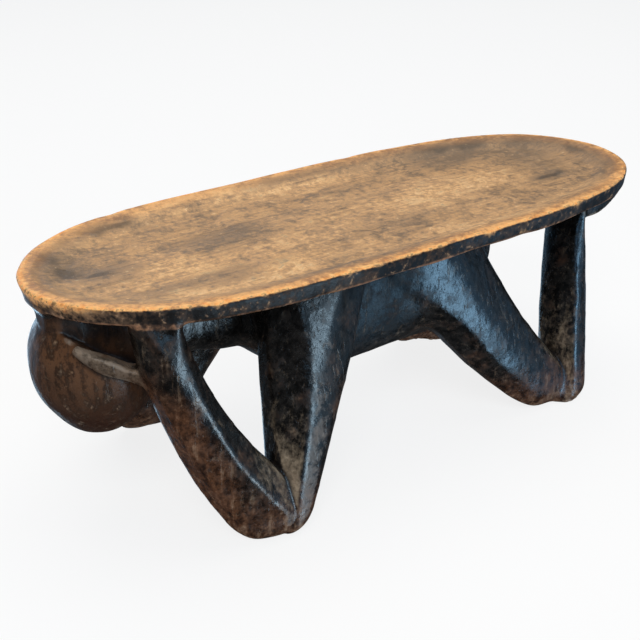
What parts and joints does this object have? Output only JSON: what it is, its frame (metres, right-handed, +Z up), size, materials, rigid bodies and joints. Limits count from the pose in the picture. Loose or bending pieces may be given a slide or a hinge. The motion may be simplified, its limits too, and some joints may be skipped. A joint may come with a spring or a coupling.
{
  "type": "carved tray bearer figure",
  "caption": "Low carved wooden stool or tray: a crouching figure on its elbows and knees carries a long oval dished tray on its back.",
  "frame": {"origin": "on the floor, under the middle of the tray", "axes": "+X along the tray towards the feet, the head is at -X; +Z up; the floor is z = 0"},
  "size_m": [0.5, 0.195, 0.172],
  "materials": {
    "carved_wood": "one block of hardwood, hand cut with an adze; near-black glossy patina with worn brown edges on the figure, pale golden brown worn wood on the tray"
  },
  "bodies": {
    "root": {"carved_tray_bearer": "carved_wood"}
  },
  "joints": []
}
